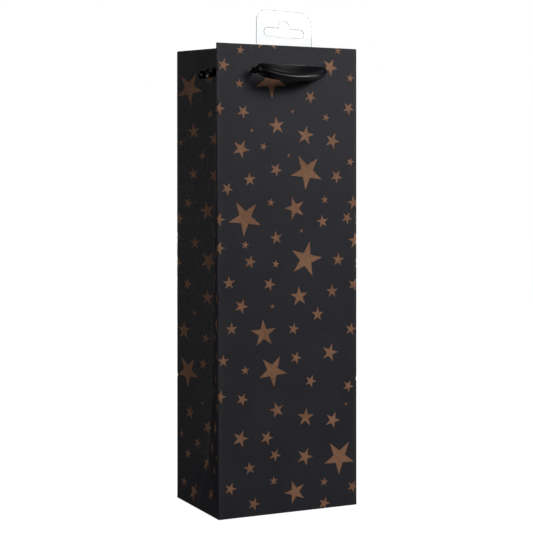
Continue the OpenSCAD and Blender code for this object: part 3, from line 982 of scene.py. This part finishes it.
def make_run(name, node, mx, my):
    """The ribbon inside the bag: bunched in both holes and a little spread between them."""
    hole, out = side_hole_place()
    mouth = Vector((-HOLE_X, AXIS_Y, HOLE_Z))
    inwards = Vector((0, 1, 0))
    stops = [
        mouth - 0.4 * inwards,
        mouth + 3 * inwards,
        mouth + 5.5 * inwards,
        mouth + 7.5 * inwards - Vector((1, 0, 0)),
        (mouth + hole) / 2 + 2 * inwards,
        hole - 4.5 * out - 1.5 * inwards,
        hole - 2.5 * out,
        hole + out * 2.2,
    ]
    line = curve_through(stops, 6)
    heights, gathered = [], []
    for i, p in enumerate(line):
        t = i / (len(line) - 1)
        spread = smooth(min(t - 0.38, 0.80 - t) / 0.16)
        near = min((p - mouth - 0.4 * inwards).length, (p - hole).length)
        half = BUNCH + 1.5 * spread + (HOLE_FILL - BUNCH) * (1 - smooth((near - 1.0) / 1.2))
        heights.append((half, -half))
        gathered.append(1 - 0.15 * spread)
    made = ribbon_strip(name, BAG, mirrored(line, mx, my), heights, gathered, sides=mx * my)
    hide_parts(node)


# The knot's distance from its hole, its size and its rope's radius, and its flat end.
KNOT_OUT, KNOT_SIZE, KNOT_ROPE = 4.6, 0.84, 1.22
END_LONG, END_WIDE, END_RISE = 9.5, 6.4, math.radians(10)


def knot_rope(centre, flat, up, out):
    """The knot itself, bunched ribbon that follows a trefoil: its points, faces and marks."""
    steps, ring = 96, 20

    def trefoil(t):
        a = math.sin(t) + 2 * math.sin(2 * t)
        b = math.cos(t) - 2 * math.cos(2 * t)
        c = -1.25 * math.sin(3 * t)
        return centre + (flat * a + up * b + out * c) * KNOT_SIZE

    points, faces, marks = [], [], []
    for i in range(steps):
        t = 2 * math.pi * i / steps
        p = trefoil(t)
        along = (trefoil(t + 0.01) - trefoil(t - 0.01)).normalized()
        side = along.cross(out).normalized()
        top = side.cross(along).normalized()
        ahead = (i + 1) % steps
        for j in range(ring):
            a = 2 * math.pi * j / ring
            r = KNOT_ROPE * (1 + 0.13 * math.sin(4 * a + 2 * t) + 0.06 * math.sin(7 * a - 5 * t))
            points.append(p + (side * math.cos(a) + top * math.sin(a)) * r)
            marks += [i * 0.4, RIBBON_W * (j / ring - 0.5), 0.0]
            beside = (j + 1) % ring
            faces.append([i * ring + j, i * ring + beside, ahead * ring + beside, ahead * ring + j])
    return points, faces, marks


def knot_end(hole, flat, up, out):
    """The free end, bunched at the knot and then opening flat, with a slanting cut."""
    rows, cols = 14, 14
    crease_way = -flat if (-flat).y > 0 else flat
    along = crease_way * math.cos(END_RISE) + up * math.sin(END_RISE)
    across = -crease_way * math.sin(END_RISE) + up * math.cos(END_RISE)
    points, faces, marks = [], [], []
    for i in range(rows + 1):
        s = i / rows
        spread = 0.28 + 0.72 * smooth(s / 0.55)
        arch = 2.2 + 1.6 * math.sin(math.pi * (0.15 + 0.7 * s))
        for j in range(cols + 1):
            t = j / cols - 0.5
            reach = END_LONG * s * (1 + 0.12 * t)
            pleat = 0.9 * (1 - spread) * math.sin(9 * t * math.pi / 2)
            lift = arch + pleat + 0.5 * math.sin(3.3 * t + 4 * s)
            points.append(hole + out * lift + along * reach + across * (END_WIDE * spread * t))
            marks += [reach, RIBBON_W * t, 0.0]
    for i in range(rows):
        for j in range(cols):
            a = i * (cols + 1) + j
            faces.append([a, a + 1, a + cols + 2, a + cols + 1])
    return points, faces, marks


def make_knot(name, node, mx, my):
    """An overhand knot of bunched ribbon, with its flat end beside it."""
    hole, out = side_hole_place()
    up = Vector((0, 0, 1))
    flat = up.cross(out).normalized()
    points, faces, marks = knot_rope(hole + out * KNOT_OUT, flat, up, out)
    end_points, end_faces, end_marks = knot_end(hole, flat, up, out)
    faces += [[len(points) + i for i in face] for face in end_faces]
    if mx * my < 0:
        faces = [list(reversed(face)) for face in faces]
    made = add_ribbon(name, BAG, mirrored(points + end_points, mx, my), faces, marks + end_marks)
    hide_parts(node)


def make_ribbons():
    """Two loops, and at each corner the run inside the bag and the knot in the side's fold."""
    make_handle("front_ribbon_loop", "front_handle", FRONT_RIBBON, False)
    make_handle("back_ribbon_loop", "back_handle", BACK_RIBBON, True)
    for end, my in (("front", 1), ("back", -1)):
        for hand, mx in (("left", 1), ("right", -1)):
            make_run(f"{end}_{hand}_ribbon_inside", f"{end}_{hand}_ribbon_run", mx, my)
            make_knot(f"{end}_{hand}_ribbon_knot", f"{end}_{hand}_knot", mx, my)


# ---------------------------------------------------------------- the hanging tab

# The tab's corner radius, tilt and thickness, the band by its edges painted darker as shade, and its
# slot: height above the rim, height, half its width, and its hump's radius and height.
TAB_CORNER = 9.0
TAB_TILT = math.radians(-1.4)
TAB_T = 0.4
SHADED_RIM_BAND = 0.4
SLOT_Z, SLOT_H, SLOT_HALF = 6.6, 6.5, 17.0
HUMP_R, HUMP_TOP = 4.75, 12.5


def rounded(cx, cz, radius, start, end, steps):
    """An arc from start to end, in degrees."""
    return [
        (cx + radius * math.cos(math.radians(a)), cz + radius * math.sin(math.radians(a)))
        for a in ticks(start, end, (end - start) / steps)
    ]


def tab_outline(half, rise, grip, inset):
    """The tab's outline from its own middle and the bag's rim, moved inwards by inset."""
    side, top, foot = half - inset, rise - inset, inset - grip
    corner, small = TAB_CORNER - inset, 2 - inset
    return (
        rounded(side - corner, top - corner, corner, 0, 90, 20)
        + rounded(corner - side, top - corner, corner, 90, 180, 20)
        + [(-side, z) for z in ticks(top - corner - 3, foot + 3, 3)]
        + rounded(small - side, small + foot, small, 180, 270, 5)
        + rounded(side - small, small + foot, small, 270, 360, 5)
        + [(side, z) for z in ticks(foot + 3, top - corner - 3, 3)]
    )


def slot_outline(grow):
    """The hanging slot with its middle hump, moved outwards by grow."""
    end, bottom, top = SLOT_H / 2 + grow, SLOT_Z + SLOT_H / 2, SLOT_Z + SLOT_H + grow
    reach, hump = SLOT_HALF - SLOT_H / 2, HUMP_R + grow
    return (
        rounded(reach, bottom, end, -90, 90, 12)
        + [(hump, top)]
        + rounded(0, SLOT_Z + HUMP_TOP - HUMP_R, hump, 0, 180, 18)
        + [(-hump, top)]
        + rounded(-reach, bottom, end, 90, 270, 12)
    )


def inside_loop(loop, x, z):
    """Whether a place is inside a closed outline, by counting the edges to one side of it."""
    hit = False
    for (ax, az), (bx, bz) in zip(loop, loop[1:] + loop[:1]):
        if (az > z) != (bz > z) and x < (bx - ax) * (z - az) / (bz - az) + ax:
            hit = not hit
    return hit


def make_tab():
    """A clear sheet stuck behind the front panel, with a hanging slot above the rim."""
    low, high = box_mm("hang_tab")
    middle, half = (low[0] + high[0]) / 2, (high[0] - low[0]) / 2
    rise, grip = high[2] - HEIGHT, HEIGHT - low[2]
    outline, slot = tab_outline(half, rise, grip, 0), slot_outline(0)
    inner, outer = tab_outline(half, rise, grip, SHADED_RIM_BAND), slot_outline(SHADED_RIM_BAND)
    points, edges = [], []
    for loop in (outline, inner, slot, outer):
        first, count = len(points), len(loop)
        points += [Vector(p) for p in loop]
        edges += [(first + i, first + (i + 1) % count) for i in range(count)]
    for x in ticks(1.5 - half, half - 1.5, 2.5):
        points += [Vector((x, z)) for z in ticks(1.5 - grip, rise - 1.5, 2.5)]
    flat, _, triangles, *_ = delaunay_2d_cdt(points, edges, [], 0, 1e-4)
    faces, rim_shade_slots = [], []
    for t in triangles:
        x = sum(flat[i].x for i in t) / 3
        z = sum(flat[i].y for i in t) / 3
        if inside_loop(outline, x, z) and not inside_loop(slot, x, z):
            faces.append(list(t))
            # A face in the band by the edges takes the painted-shade material.
            clear = inside_loop(inner, x, z) and not inside_loop(outer, x, z)
            rim_shade_slots.append(0 if clear else 1)
    used = sorted({i for f in faces for i in f})
    index = {old: new for new, old in enumerate(used)}
    depth = low[1] + HALF_D - lean_at(low[2])

    def place(x, z):
        above = max(0.0, z)
        xx = middle + x * math.cos(TAB_TILT) - z * math.sin(TAB_TILT)
        zz = HEIGHT + x * math.sin(TAB_TILT) + z * math.cos(TAB_TILT)
        warp = 0.0042 * above * above + 0.5 * math.sin(x / 13) * smooth(above / 25)
        return xx, -HALF_D + lean_at(HEIGHT + z) + depth + warp, zz

    made = add_piece(
        "clear_hang_tab", BAG, [CLEAR, CLEAR_RIM_SHADE],
        [place(flat[i].x, flat[i].y) for i in used], [[index[i] for i in f] for f in faces], rim_shade_slots,
    )
    # The cut edges take the painted-shade material too.
    thicken(made, TAB_T).material_offset_rim = 1
    soften(made, 0.09, 2, 60)
    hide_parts("hang_tab")


# ---------------------------------------------------------------- everything

def add_floor():
    """A plain pale floor, just under the base so that the two don't share a plane."""
    mesh = bpy.data.meshes.new("floor")
    reach = 6.0
    corners = [(-reach, -reach, 0), (reach, -reach, 0), (reach, reach, 0), (-reach, reach, 0)]
    mesh.from_pydata(corners, [], [(0, 1, 2, 3)])
    mesh.materials.append(pale_floor())
    floor = bpy.data.objects.new("floor", mesh)
    floor.location.z = -0.0003
    floor.visible_diffuse = False
    floor.visible_glossy = False
    bpy.context.scene.collection.objects.link(floor)


def dress_cad_nodes():
    """The card strips and the tab's glue keep their CAD shape."""
    for node, material in (
        ("front_card_strip", BOARD), ("back_card_strip", BOARD), ("tab_adhesive", ADHESIVE),
    ):
        shown = frame["nodes"][node]
        shown.data.materials.clear()
        shown.data.materials.append(material)


add_camera()
make_ribbons()
add_studio()
make_bag_sheet()
make_bottom()
make_base_card()
make_tab()
dress_cad_nodes()
add_floor()
